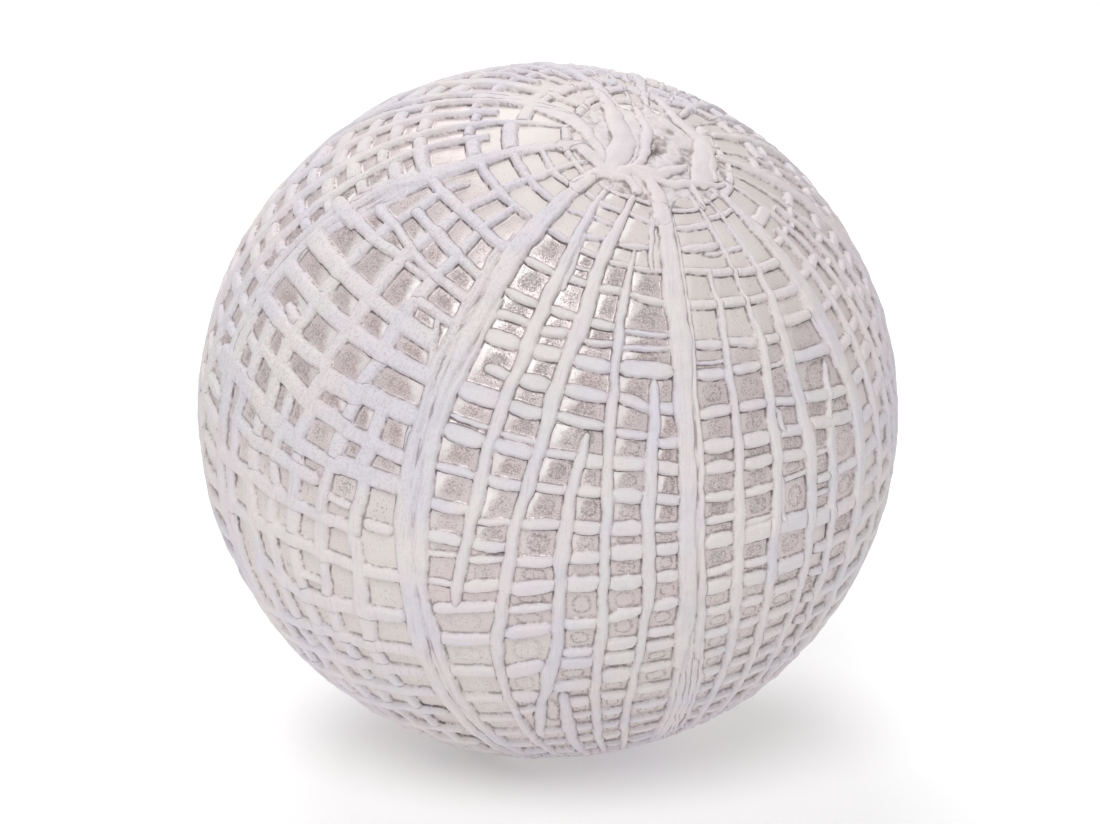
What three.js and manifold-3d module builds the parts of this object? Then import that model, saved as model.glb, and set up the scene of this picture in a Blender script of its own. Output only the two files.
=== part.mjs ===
// Decorative ball: one hand-worked casting. Raised ribs run like threads from a gathering point near the top
// to a second gathering point near the underside, short bars cross them, and the panes between lie recessed.
// Broad seams part the net into panels. Both gathering points are plain trowelled patches, and the ball lies on
// a small flat spot in the lower one. Millimetres, +Z up, origin on the floor below the middle of the ball.

import * as THREE from 'three';
import { mergeVertices } from 'three/addons/utils/BufferGeometryUtils.js';
import Module from 'manifold-3d';

const DEG = Math.PI / 180;

// Body
const EQUATOR_R = 50.0; // radius over the rib tops, square to the upper gathering axis
const AXIS_R = 49.3; // radius over the rib tops along that axis: the ball is a little flattened there
const FLAT_SPOT_D = 17.0; // the ground spot that the ball lies on

// Gathering points: the upper one leans to the front right, the lower one is not opposite to it
const UPPER_LEAN = 31.2 * DEG; // from straight up
const UPPER_BEARING = -55.9 * DEG; // from +X toward +Y
const FRONT_RISE = 15 * DEG; // the front meridian is measured toward this height above the horizon
const LOWER_ARC = 138.4 * DEG; // arc from the upper to the lower gathering point
const LOWER_TURN = 56.5 * DEG; // and its turn from the front meridian

// Net
const RIB_PITCH = 7.4; // between ribs
const BAR_PITCH = 7.4; // between bars
const RIB_HALF = 1.15; // from a rib's crest to the foot of its slope
const BAR_HALF = 1.0; // the same for a bar
const PANE_DEPTH = 0.9; // pane floor below the rib crests
const SEAM_RISE = 0.1; // seam top above the rib crests
const HAND = 0.12; // how far hand work strays, as a share of the pitch
const NET_TOP = -104 * DEG; // the net ends here at the upper patch
const NET_BOTTOM = 84 * DEG; // and here at the lower patch
const PATCH_SINK = 0.3; // the patches lie this far below the rib crests
const LUMP_RISE = 0.45; // trowelled lumps on the upper patch
const LUMPS = 3;

// Seams: bearing in the net, width in millimetres, and how far they drift from top to bottom
const SEAMS = [
  { at: -72.5, width: 4.2, drift: -4 },
  { at: -30, width: 3.6, drift: 6 },
  { at: 24.5, width: 4.2, drift: 4 },
  { at: 77.5, width: 3.4, drift: -3 },
  { at: 126, width: 3.2, drift: 3 },
  { at: 163, width: 3.2, drift: -3 },
  { at: 193, width: 3.2, drift: 2 },
  { at: 220, width: 3.2, drift: -2 },
  { at: 248, width: 3.4, drift: 2 },
].map((s) => ({ at: s.at * DEG, width: s.width, drift: s.drift * DEG }));

// Axes of the net
const upper = new THREE.Vector3(
  Math.sin(UPPER_LEAN) * Math.cos(UPPER_BEARING),
  Math.sin(UPPER_LEAN) * Math.sin(UPPER_BEARING),
  Math.cos(UPPER_LEAN)
);
const front = new THREE.Vector3(0, -Math.cos(FRONT_RISE), Math.sin(FRONT_RISE));
const first = front.clone().addScaledVector(upper, -front.dot(upper)).normalize();
const second = new THREE.Vector3().crossVectors(upper, first);
const lowerRe = Math.tan(LOWER_ARC / 2) * Math.cos(LOWER_TURN);
const lowerIm = Math.tan(LOWER_ARC / 2) * Math.sin(LOWER_TURN);
const lowerSq = lowerRe * lowerRe + lowerIm * lowerIm;

// 1 + w / lower, with w = exp(down + i around)
function divisor(around, down) {
  const m = Math.exp(down);
  const wr = m * Math.cos(around);
  const wi = m * Math.sin(around);
  return { m, wr, wi, dr: 1 + (wr * lowerRe + wi * lowerIm) / lowerSq, di: (wi * lowerRe - wr * lowerIm) / lowerSq };
}

// Direction from the ball's middle for net coordinates: ribs keep "around", bars keep "down"
function direction(around, down) {
  const { wr, wi, dr, di } = divisor(around, down);
  const dd = dr * dr + di * di;
  const zr = (wr * dr + wi * di) / dd;
  const zi = (wi * dr - wr * di) / dd;
  const r = Math.hypot(zr, zi);
  const arc = 2 * Math.atan(r);
  return upper
    .clone()
    .multiplyScalar(Math.cos(arc))
    .addScaledVector(first, (Math.sin(arc) * zr) / r)
    .addScaledVector(second, (Math.sin(arc) * zi) / r);
}

// Millimetres for one radian of the net, the same both ways
function spread(around, down) {
  const { m, dr, di } = divisor(around, down);
  return (EQUATOR_R * 2 * m) / (dr * dr + di * di + m * m);
}

// A steady stray between -1 and 1 for a numbered spot of the net
function stray(a, b, c) {
  const s = Math.sin(a * 12.9898 + b * 78.233 + c * 37.719) * 43758.5453;
  return 2 * (s - Math.floor(s)) - 1;
}

const points = [];
const faces = [];

function place(dir, rise) {
  const along = dir.dot(upper);
  const body = 1 / Math.sqrt((1 - along * along) / EQUATOR_R ** 2 + (along * along) / AXIS_R ** 2);
  const p = dir.clone().multiplyScalar(body + rise);
  points.push(p.x, p.y, p.z);
  return points.length / 3 - 1;
}

function quad(a, b, c, d) {
  faces.push(a, b, c, a, c, d);
}

// Fills the strip between two rows of vertices whose keys rise together; the first row lies on the left or below
function strip(rowA, keyA, rowB, keyB) {
  let i = 0;
  let j = 0;
  while (i < rowA.length - 1 || j < rowB.length - 1) {
    const stepA = j === rowB.length - 1 || (i < rowA.length - 1 && keyA[i + 1] <= keyB[j + 1]);
    if (stepA) {
      faces.push(rowA[i], rowA[i + 1], rowB[j]);
      i++;
    } else {
      faces.push(rowA[i], rowB[j + 1], rowB[j]);
      j++;
    }
  }
}

function seamMiddle(k, down) {
  const lap = Math.floor(k / SEAMS.length) * 2 * Math.PI;
  const s = SEAMS[k % SEAMS.length];
  return s.at + lap + s.drift * (down / (NET_BOTTOM - NET_TOP));
}

function seamEdge(k, down, side) {
  const middle = seamMiddle(k, down);
  const narrow = 0.55 + 0.45 * Math.min(1, spread(middle, down) / 30);
  return middle + (side * narrow * SEAMS[k % SEAMS.length].width) / (2 * spread(middle, down));
}

// One panel of the net between two seams: crests on the lines, a sunk floor in each cell
function panel(k) {
  const left = seamMiddle(k, 0);
  const right = seamMiddle(k + 1, 0);
  const centre = (left + right) / 2;
  let across = 0;
  for (let a = left; a < right; a += DEG) across += spread(a, 0) * DEG;
  const columns = Math.max(2, Math.round(across / RIB_PITCH));

  const rows = [NET_TOP];
  for (let d = NET_TOP; d < NET_BOTTOM; ) {
    d += BAR_PITCH / (spread(centre, d) + 6);
    rows.push(d);
  }
  const stretch = (NET_BOTTOM - NET_TOP) / (rows[rows.length - 1] - NET_TOP);
  const downs = rows.map((d) => NET_TOP + (d - NET_TOP) * stretch);
  const last = downs.length - 1;

  const spot = [];
  const crest = [];
  for (let i = 0; i <= columns; i++) {
    spot.push([]);
    crest.push([]);
    for (let j = 0; j <= last; j++) {
      const edge = i === 0 || i === columns;
      const rim = j === 0 || j === last;
      const gap = rim ? 0 : Math.min(downs[j] - downs[j - 1], downs[j + 1] - downs[j]);
      const down = downs[j] + HAND * gap * (stray(i, j, k) + 0.8 * Math.sin(i * 1.3 + k));
      const a = seamEdge(k, down, 1);
      const b = seamEdge(k + 1, down, -1);
      const share = i / columns + (edge ? 0 : (HAND / columns) * (stray(j, i, k + 20) * 0.6 + Math.sin(j * 0.45 + i + k)));
      const around = a + (b - a) * share;
      spot[i].push([around, down]);
      crest[i].push(place(direction(around, down), rim ? -PATCH_SINK / 2 : edge ? SEAM_RISE : 0.12 * stray(i, j, k + 40)));
    }
  }

  for (let i = 0; i < columns; i++) {
    for (let j = 0; j < last; j++) {
      const c = [spot[i][j], spot[i + 1][j], spot[i][j + 1], spot[i + 1][j + 1]];
      const mid = spread((c[0][0] + c[3][0]) / 2, (c[0][1] + c[3][1]) / 2);
      const s = Math.min(0.36, RIB_HALF / (mid * (c[1][0] - c[0][0])));
      const t = Math.min(0.36, BAR_HALF / (mid * (c[2][1] - c[0][1])));
      const size = Math.min(mid * (c[1][0] - c[0][0]), mid * (c[2][1] - c[0][1]));
      const depth = PANE_DEPTH * Math.min(1, size / (0.6 * BAR_PITCH)) * (1 + 0.12 * stray(i, j, k + 60));
      const floor = [];
      for (const [u, v] of [[s, t], [1 - s, t], [s, 1 - t], [1 - s, 1 - t]]) {
        const at = [0, 1].map(
          (n) => (1 - v) * ((1 - u) * c[0][n] + u * c[1][n]) + v * ((1 - u) * c[2][n] + u * c[3][n])
        );
        floor.push(place(direction(at[0], at[1]), -depth));
      }
      const [p, q, r, x] = [crest[i][j], crest[i + 1][j], crest[i][j + 1], crest[i + 1][j + 1]];
      const [fp, fq, fr, fx] = floor;
      quad(fp, fr, fx, fq);
      quad(p, fp, fq, q);
      quad(p, r, fr, fp);
      quad(r, x, fx, fr);
      quad(q, fq, fx, x);
    }
  }
  return { columns, last, spot, crest };
}

const panels = SEAMS.map((_, k) => panel(k));

// Seams join each panel's right edge to the next panel's left edge
panels.forEach((p, k) => {
  const n = panels[(k + 1) % panels.length];
  strip(
    p.crest[p.columns],
    p.spot[p.columns].map((s) => s[1]),
    n.crest[0],
    n.spot[0].map((s) => s[1])
  );
});

// A trowelled patch closes the net at each gathering point, with lumps on the upper one
function patch(top) {
  const edge = [];
  const bearing = [];
  for (const p of panels) {
    for (let i = 0; i <= p.columns; i++) {
      const j = top ? 0 : p.last;
      edge.push(p.crest[i][j]);
      bearing.push(p.spot[i][j][0]);
    }
  }
  edge.push(edge[0]);
  bearing.push(bearing[0] + 2 * Math.PI);
  let outer = edge;
  let outerKey = bearing;
  const side = top ? -1 : 1;
  const start = bearing[0];
  [30, 20, 10].forEach((n, ring) => {
    const down = (top ? NET_TOP : NET_BOTTOM) + side * [22, 50, 92][ring] * DEG;
    const row = [];
    const key = [];
    for (let i = 0; i < n; i++) {
      const around = start + (i / n) * 2 * Math.PI;
      const lump = top ? LUMP_RISE * Math.max(0, Math.cos(LUMPS * around + ring)) * (ring < 2 ? 1 : 0.4) : 0;
      row.push(place(direction(around, down), -PATCH_SINK + lump));
      key.push(around);
    }
    row.push(row[0]);
    key.push(start + 2 * Math.PI);
    if (top) strip(outer, outerKey, row, key);
    else strip(row, key, outer, outerKey);
    outer = row;
    outerKey = key;
  });
  const tip = place(direction(start, side * 500 * DEG), -PATCH_SINK);
  for (let i = 0; i < outer.length - 1; i++) {
    if (top) faces.push(tip, outer[i], outer[i + 1]);
    else faces.push(tip, outer[i + 1], outer[i]);
  }
}
patch(true);
patch(false);

// Faces point out: the signed volume tells which way round they were listed
let volume = 0;
const corner = (n) => new THREE.Vector3(points[3 * n], points[3 * n + 1], points[3 * n + 2]);
for (let f = 0; f < faces.length; f += 3) {
  volume += corner(faces[f]).dot(corner(faces[f + 1]).cross(corner(faces[f + 2]))) / 6;
}
if (volume < 0) {
  for (let f = 0; f < faces.length; f += 3) [faces[f + 1], faces[f + 2]] = [faces[f + 2], faces[f + 1]];
}

const wasm = await Module();
wasm.setup();

function solid(geometry) {
  const g = geometry.clone();
  g.deleteAttribute('normal');
  g.deleteAttribute('uv');
  const m = mergeVertices(g, 1e-4);
  return new wasm.Manifold(
    new wasm.Mesh({
      numProp: 3,
      vertProperties: new Float32Array(m.attributes.position.array),
      triVerts: new Uint32Array(m.index.array),
    })
  );
}

const round = new THREE.BufferGeometry();
round.setAttribute('position', new THREE.Float32BufferAttribute(points, 3));
round.setIndex(faces);

// The flat spot: everything below the plane that leaves a disc of the wanted width goes
const underside =
  Math.sqrt(EQUATOR_R ** 2 * (1 - upper.z ** 2) + AXIS_R ** 2 * upper.z ** 2) - PATCH_SINK;
const floorZ = -Math.sqrt(underside ** 2 - (FLAT_SPOT_D / 2) ** 2);
const below = new THREE.BoxGeometry(3 * EQUATOR_R, 3 * EQUATOR_R, EQUATOR_R);
below.translate(0, 0, floorZ - EQUATOR_R / 2);

const cut = solid(round).subtract(solid(below)).getMesh();
const shape = new THREE.BufferGeometry();
const kept = new Float32Array(cut.numVert * 3);
for (let i = 0; i < cut.numVert; i++) {
  for (let n = 0; n < 3; n++) kept[3 * i + n] = cut.vertProperties[cut.numProp * i + n];
}
shape.setAttribute('position', new THREE.BufferAttribute(kept, 3));
shape.setIndex(Array.from(cut.triVerts));
shape.computeBoundingBox();
const box = shape.boundingBox;
shape.translate(-(box.min.x + box.max.x) / 2, -(box.min.y + box.max.y) / 2, -box.min.z);
shape.computeVertexNormals();

const ball = new THREE.Mesh(
  shape,
  new THREE.MeshStandardMaterial({ color: 0xd6d1d3, roughness: 0.55, metalness: 0.15 })
);
ball.name = 'ball';

const ornament = new THREE.Group();
ornament.add(ball);

export default ornament;
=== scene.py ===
"""Decorative ball: a white-washed net of ribs and bars over tarnished silver panes, on a plain pale floor."""

import math

import bpy
import numpy as np
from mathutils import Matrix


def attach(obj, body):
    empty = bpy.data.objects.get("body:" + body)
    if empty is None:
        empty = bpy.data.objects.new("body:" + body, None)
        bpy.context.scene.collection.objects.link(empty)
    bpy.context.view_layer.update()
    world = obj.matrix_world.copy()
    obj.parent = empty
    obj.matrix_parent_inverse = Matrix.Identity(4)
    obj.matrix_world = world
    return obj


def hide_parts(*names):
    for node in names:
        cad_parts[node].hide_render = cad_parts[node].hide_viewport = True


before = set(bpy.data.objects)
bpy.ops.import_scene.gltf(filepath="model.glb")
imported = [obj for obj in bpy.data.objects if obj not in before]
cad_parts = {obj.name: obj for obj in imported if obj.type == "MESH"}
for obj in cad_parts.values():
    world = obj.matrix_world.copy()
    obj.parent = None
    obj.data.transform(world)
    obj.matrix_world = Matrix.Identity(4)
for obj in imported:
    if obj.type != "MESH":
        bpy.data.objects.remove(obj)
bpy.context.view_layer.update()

# ------------------------------------------------------------------ sizes, in millimetres and degrees of the net
EQUATOR_R = 50.0  # over the rib tops
AXIS_R = 49.3  # the same along the upper gathering axis
CENTRE = np.array([0.0, 0.0, 48.449])  # middle of the ball above the floor
DEPTH = 0.95  # pane floor below the nominal rib tops
FOOT = 0.1  # soft foot outside a stroke's edge
PILLOW = 0.15  # how far a pane swells from its edge to its middle
UPPER_LEAN, UPPER_BEARING, FRONT_RISE = 31.2, -55.9, 15.0
LOWER_ARC, LOWER_TURN = 138.4, 56.5
STEP = 0.3  # of the net, for the height map
MOST_FACES = 198_000

rad = math.radians
UP = np.array(
    [
        math.sin(rad(UPPER_LEAN)) * math.cos(rad(UPPER_BEARING)),
        math.sin(rad(UPPER_LEAN)) * math.sin(rad(UPPER_BEARING)),
        math.cos(rad(UPPER_LEAN)),
    ]
)
VIEW = np.array([0.0, -math.cos(rad(FRONT_RISE)), math.sin(rad(FRONT_RISE))])
E1 = VIEW - UP * (VIEW @ UP)
E1 /= np.linalg.norm(E1)
E2 = np.cross(UP, E1)
LOW = math.tan(rad(LOWER_ARC) / 2) * np.exp(1j * rad(LOWER_TURN))


# The net: every rib keeps its bearing "around" and every bar its place "down", from one gathering point to the other.
def to_dir(around, down):
    w = np.exp(np.radians(down) + 1j * np.radians(around))
    z = w / (1 + w / LOW)
    r = np.abs(z)
    arc = 2 * np.arctan(r)
    c = z / np.maximum(r, 1e-12)
    side = c.real[..., None] * E1 + c.imag[..., None] * E2
    return np.cos(arc)[..., None] * UP + np.sin(arc)[..., None] * side


def to_net(d):
    arc = np.arccos(np.clip(d @ UP, -1, 1))
    z = np.tan(np.minimum(arc, math.pi - 1e-6) / 2) * np.exp(1j * np.arctan2(d @ E2, d @ E1))
    gap = 1 - z / LOW
    w = z / np.where(np.abs(gap) < 1e-9, 1e-9, gap)
    return np.degrees(np.angle(w)), np.degrees(np.log(np.maximum(np.abs(w), 1e-9)))


def mm_per_deg(around, down):
    w = np.exp(np.radians(down) + 1j * np.radians(around))
    m = np.abs(w)
    return EQUATOR_R * 2 * m / (np.abs(1 + w / LOW) ** 2 + m * m) * math.pi / 180


# ------------------------------------------------------------------ seeded noise
def scramble(n, seed):
    with np.errstate(over="ignore"):
        n = (n ^ np.uint32(seed * 2654435761 & 0xFFFFFFFF)) * np.uint32(0x9E3779B1)
        n = (n ^ (n >> np.uint32(15))) * np.uint32(0x85EBCA6B)
        n = (n ^ (n >> np.uint32(13))) * np.uint32(0xC2B2AE35)
        return (n ^ (n >> np.uint32(16))).astype(np.float32) / np.float32(4294967295.0) * 2 - 1


def noise3(p, seed):
    """Smooth noise in -1..1 at points p, with one lump per unit."""
    base = np.floor(p)
    f = (p - base).astype(np.float32)
    f = f * f * (3 - 2 * f)
    k = base.astype(np.int64)
    out = np.zeros(p.shape[:-1], np.float32)
    with np.errstate(over="ignore"):
        for dx in (0, 1):
            hx = (k[..., 0] + dx).astype(np.uint32) * np.uint32(73856093)
            wx = f[..., 0] if dx else 1 - f[..., 0]
            for dy in (0, 1):
                hy = hx ^ ((k[..., 1] + dy).astype(np.uint32) * np.uint32(19349663))
                wy = wx * (f[..., 1] if dy else 1 - f[..., 1])
                for dz in (0, 1):
                    h = hy ^ ((k[..., 2] + dz).astype(np.uint32) * np.uint32(83492791))
                    out += wy * (f[..., 2] if dz else 1 - f[..., 2]) * scramble(h, seed)
    return out


def smooth(a, b, x):
    t = np.clip((x - a) / (b - a), 0, 1)
    return t * t * (3 - 2 * t)


# ------------------------------------------------------------------ height map over the net
AROUND = np.arange(-180, 180, STEP)
fine = np.arange(-142, 92, STEP)
grown = STEP * 1.06 ** np.arange(1, 62)
DOWN = np.concatenate([fine[0] - np.cumsum(grown)[::-1], fine, fine[-1] + np.cumsum(grown)[:48]])
ROWS, COLS = len(DOWN), len(AROUND)
SCALE = mm_per_deg(AROUND[None, :], DOWN[:, None])  # millimetres for a degree
over_edge = np.full((ROWS, COLS), -4.0)  # distance inside the edge of a stroke that lies on top, negative outside
under_edge = np.full((ROWS, COLS), -4.0)  # the same for the strokes beneath
rib_z = np.zeros((ROWS, COLS))
bar_z = np.zeros((ROWS, COLS))
rng = np.random.default_rng(11)
RIB_MORE, BAR_MORE, SEAM_WIDE = 0.6, 0.75, 1.1  # the paint and the soft sides add to the drawn widths
spot = to_dir(AROUND[None, :] + 0 * DOWN[:, None], DOWN[:, None] + 0 * AROUND[None, :]) * EQUATOR_R
ragged = [0.11 * noise3(spot / 2.3, 31 + n) + 0.1 * noise3(spot / 0.8, 41 + n) for n in range(2)]  # hand-cut outlines, in millimetres
WARP_A, WARP_D = (np.clip(r / SCALE, -1.2, 1.2) for r in ragged)


def wave(lengths, reach):
    """A small hand wobble along a stroke."""
    ph = rng.uniform(0, 2 * math.pi, len(lengths))
    return lambda s: sum(reach / (k + 1) * np.sin(2 * math.pi * s / n + ph[k]) for k, n in enumerate(lengths))


class Rib:
    """A raised rib along knots of (down, around, width)."""

    def __init__(self, knots, height=0.92, free=(False, False), more=None, wide=1.0):
        k = np.array(sorted(knots), float)
        if k[0, 0] < -104:
            k[0, 0] = -165
        self.d, self.a, self.w = k[:, 0], k[:, 1], k[:, 2] * wide + (RIB_MORE if more is None else more)
        self.height, self.free = height, free
        self.stray, self.swell, self.rise = wave((31, 13, 7), 0.2), wave((17, 9, 5), 0.06), wave((14, 6), 0.05)

    def middle(self, down):
        return np.interp(down, self.d, self.a) + self.stray(down)

    def half(self, down):
        return 0.5 * np.interp(down, self.d, self.w) * (1 + self.swell(down))

    def left(self, down):
        return float(self.middle(down) - self.half(down))

    def right(self, down):
        return float(self.middle(down) + self.half(down))

    def draw(self, under=False):
        edge, z_map = (under_edge, bar_z) if under else (over_edge, rib_z)
        j = np.nonzero((DOWN >= self.d[0] - 0.5) & (DOWN <= self.d[-1] + 0.5))[0]
        down = DOWN[j]
        mid, half = self.middle(down), self.half(down)
        for end, sign in ((self.d[0], 1), (self.d[-1], -1)):
            if self.free[0 if sign > 0 else 1]:
                half = half * np.sqrt(np.clip(sign * (down - end) / 1.6 + 0.15, 0, 1))
        reach = int((half.max() + 5) / STEP)
        i = np.round((mid + 180) / STEP).astype(int)[:, None] + np.arange(-reach, reach + 1)
        rows = j[:, None]
        off = np.abs(i * STEP - 180 + WARP_A[rows, i % COLS] - mid[:, None])
        i %= COLS
        mm = SCALE[rows, i]
        inside = (half[:, None] - off) * mm
        half_mm = half[:, None] * mm
        edge[rows, i] = np.maximum(edge[rows, i], inside)
        soft = np.minimum(0.5, 0.85 * half_mm)
        t = np.clip((inside + FOOT) / (soft + FOOT), 0, 1)
        tall = (self.height + self.rise(down))[:, None] * np.clip(half_mm / 0.55, 0.45, 1)
        z = tall * (1 - (1 - t) ** 2.2) * (0.93 + 0.07 * np.clip(1 - (off / half[:, None].clip(0.05)) ** 2, 0, 1))
        z_map[rows, i] = np.maximum(z_map[rows, i], z)


def bar(a0, d0, a1, d1, thick, lens=True, height=None, bow=0.0, over=False):
    """A bar from one spot to another: a lens-shaped pillow, or a flat band that runs on."""
    mid_a, half_a = (a0 + a1) / 2, max(0.4, (a1 - a0) / 2)
    mid_d, tilt = (d0 + d1) / 2, (d1 - d0) / 2
    half = (thick + (BAR_MORE if thick > 1.1 else 0.45)) / 2 * (1 + 0.06 * rng.standard_normal())
    bow = bow + 0.12 * rng.standard_normal()
    i = np.arange(math.floor((mid_a - half_a - 1 + 180) / STEP), math.ceil((mid_a + half_a + 1 + 180) / STEP) + 1)
    j0, j1 = np.searchsorted(DOWN, (mid_d - abs(tilt) - half - 5, mid_d + abs(tilt) + half + 5))
    if j1 - j0 < 2:
        return
    down = DOWN[j0:j1, None]
    s = (i * STEP - 180 - mid_a) / half_a
    i = i % COLS
    s = s + WARP_A[j0:j1][:, i] / half_a
    t = (down + WARP_D[j0:j1][:, i] - mid_d - tilt * s - bow * (1 - s * s)) / half
    mm = SCALE[j0:j1][:, i]
    side, round_ = (4.0, 2.1) if lens else (14.0, 2.3)
    inside = (1 - (np.abs(s) ** side + np.abs(t) ** round_) ** (1 / round_)) * half * mm
    half_mm = half * mm
    edge, z_map = (over_edge, rib_z) if over else (under_edge, bar_z)
    block = np.ix_(np.arange(j0, j1), i)
    edge[block] = np.maximum(edge[block], inside)
    soft = np.minimum(0.55, 0.9 * half_mm)
    k = np.clip((inside + FOOT) / (soft + FOOT), 0, 1)
    tall = (height or (0.84 if lens else 0.9)) * (1 + 0.05 * rng.standard_normal()) * np.clip(half_mm / 0.5, 0.4, 1)
    z = tall * (1 - (1 - k) ** 2.2) * (0.9 + 0.1 * np.clip(1 - t * t, 0, 1))
    z_map[block] = np.maximum(z_map[block], z)


def bars(left, right, rows, lens=True, lap=0.5, height=None):
    """Bars between two ribs: each row is (down, thickness, drop to the right, from, to)."""
    for row in rows:
        d, thick = row[0], row[1]
        drop = row[2] if len(row) > 2 else 0.3 * rng.standard_normal()
        a0 = row[3] if len(row) > 3 and row[3] is not None else left.right(d) - lap
        a1 = row[4] if len(row) > 4 and row[4] is not None else right.left(d) + lap
        low = height if thick > 1.1 else 0.55
        bar(a0, d - drop / 2, a1, d + drop / 2, thick, lens, low)


def band(knots, thick, height=0.92, over=False):
    """A flat bar that runs on over the ribs, through knots of (around, down)."""
    for (a0, d0), (a1, d1) in zip(knots[:-1], knots[1:]):
        slip = 0.25 * rng.standard_normal()
        bar(a0 - 0.8, d0 + slip, a1 + 0.8, d1 + slip, thick * rng.uniform(0.85, 1.2), False, height * rng.uniform(0.9, 1.03), 0.0, over)


# Seam left of the middle: a broad smooth band above, cracked strands below
seam_a = [
    Rib([(-125, -36, 4), (-105, -35, 6.5), (-85, -33.8, 6.5), (-70, -32.8, 6), (-60, -31.5, 4.2), (-50, -31, 3), (-40, -30.8, 2.4), (-30, -30.9, 1.3), (-20, -30.9, 1), (-8, -30.6, 0.9)], 1.0),
    Rib([(-68, -36.2, 1.6), (-60, -35.2, 1.5), (-50, -34.5, 1.4), (-40, -34.3, 1.5), (-32, -33.4, 1.6), (-20, -33, 2), (-10, -32, 2.4), (0, -30.3, 3), (10, -30.2, 3), (20, -29.2, 2.4), (30, -28.4, 2.4), (84, -27, 2.6)], 0.95),
    Rib([(-58, -28.5, 1.1), (-45, -28.6, 1.3), (-35, -29, 1.6), (-25, -29.2, 1.9), (-15, -29, 2.3), (-5, -28.4, 2.4), (2, -27.6, 1.6), (10, -26.6, 1.9), (20, -26, 1.8), (30, -24.9, 1.9), (46, -23.6, 1.9), (84, -22, 2)], 0.95),
    Rib([(-48.5, -39.2, 1.1), (-42, -36.8, 1.2), (-36, -34.4, 1.2)], 0.75),
    Rib([(-72, -38.4, 1.5), (-62, -36.9, 1.4), (-52, -35.7, 1.2), (-46, -35, 1)], 0.8),
    Rib([(-56, -33, 0.9), (-46, -32.8, 0.9), (-36, -32.4, 0.9), (-26, -32, 0.8)], 0.6),
]
# Seam right of the middle, with a thin ridge beside its crack, fraying into strands below
seam_b = [
    Rib([(-125, 21, 7), (-105, 21.2, 8), (-85, 21.5, 7.5), (-70, 22, 7), (-60, 22.4, 6.2), (-50, 22.7, 5.2), (-40, 22.7, 4.2), (-30, 22.9, 3.9), (-20, 23.4, 3.6), (-10, 23.5, 3.6), (0, 24.3, 3.8), (8, 24.5, 4), (16, 24.4, 3.4), (23, 24.2, 1.8)], 1.02),
    Rib([(-112, 26.7, 1.4), (-90, 26.8, 1.4), (-60, 26.5, 1.3), (-48, 26.2, 1.4), (-36, 26.1, 1.2), (-25, 26.7, 1.5), (-12, 26.8, 1.4), (0, 27.4, 1.6), (8, 28.2, 2.2), (16, 29, 2.4), (22, 29, 1.2)], 0.9),
    Rib([(20, 24.4, 1.6), (30, 24.8, 1.7), (84, 26, 2)], 0.9),
    Rib([(17, 27.2, 1.1), (26, 27.6, 1.1), (36, 28.8, 1.2), (84, 33, 1.6)], 0.8),
    Rib([(17, 29.8, 1.3), (26, 30.8, 1.2), (36, 32.2, 1.3), (84, 38, 1.8)], 0.85),
]
seam_c = [
    Rib([(-122, 80, 5), (-90, 79, 6), (-60, 79, 6), (-45, 79, 5), (-35, 79.6, 4.2), (-25, 79.2, 4), (-15, 78.6, 3.8), (-5, 77, 3.4), (5, 76, 3.4), (40, 74, 3), (84, 72, 3)], 1.0),
    Rib([(-62, 75.6, 1.2), (-50, 76, 1.2), (-40, 77, 1)], 0.7),
]
seam_d = [
    Rib([(-120, -70, 5), (-95, -70, 5), (-74, -70.5, 4.5), (-67, -71, 3.5), (-60, -73, 1.6), (-52, -74.5, 1.6), (-44, -75.5, 1.6), (-30, -74.6, 1.6), (-18, -73.6, 1.8), (-8, -72.2, 2.4), (5, -70.5, 2.4), (40, -70, 2.6), (84, -69, 2.6)], 0.95),
    Rib([(-68, -69.6, 1.2), (-58, -70, 1), (-48, -71.6, 1)], 0.6),
    Rib([(-68, -71.4, 1.2), (-58, -75, 1), (-50, -77.4, 1)], 0.6),
    Rib([(-66, -70.4, 1), (-58, -71.6, 0.9), (-53, -72.4, 0.8)], 0.5),
    Rib([(-46, -77.4, 1.2), (-36, -77.6, 1.4), (-22, -76.6, 1.2), (-14, -75, 1.2)], 0.75),
]
r1 = Rib([(-118, -23, 3.5), (-108, -21.6, 3.6), (-98, -19.5, 4), (-90, -19, 4), (-80, -18.5, 3.6), (-70, -18, 3.5), (-60, -17.6, 3.4), (-52, -17.9, 2.8), (-40, -18.6, 2.2), (-30, -18.9, 1.9), (-20, -19.5, 2), (-10, -20.4, 1.7), (0, -21.4, 1.6), (3.6, -22, 1.2)], free=(False, True))
r1b = Rib([(-92, -17.2, 1), (-85, -16, 1.1), (-78, -15.4, 1.2), (-68, -15.2, 1)], 0.7, (True, True))
r2 = Rib([(-122, -3, 4), (-112, -4, 4.2), (-105, -5, 4.6), (-95, -6, 5), (-85, -6.5, 4.6), (-75, -6.8, 4.2), (-65, -6.5, 4.6), (-57, -7, 4), (-50, -7.9, 2.8), (-40, -8.8, 2.9), (-30, -9.5, 2.1), (-20, -10.7, 1.9), (-10, -12.2, 1.8), (0, -13.2, 2), (10, -14.5, 2), (20, -14.8, 1.6), (28, -15, 1.6), (40, -14, 1.8), (84, -12, 2.2)])
r3 = Rib([(-34.5, 0, 1), (-30, -0.9, 1.5), (-25, -1.8, 1.8), (-20, -2, 2), (-10, -2.3, 2.6), (0, -2.8, 2), (10, -3, 2), (16, -3.6, 2.4), (21, -4.9, 2.8), (26, -6.2, 2.2), (31, -7.8, 2), (36, -9.2, 2.2), (46, -10.6, 2)], free=(True, False))
r3b = Rib([(27, -2.3, 1.4), (32, -2.6, 2.2), (38, -2.9, 2.8), (46, -3, 3), (84, -2.5, 3)], free=(True, False))
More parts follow.
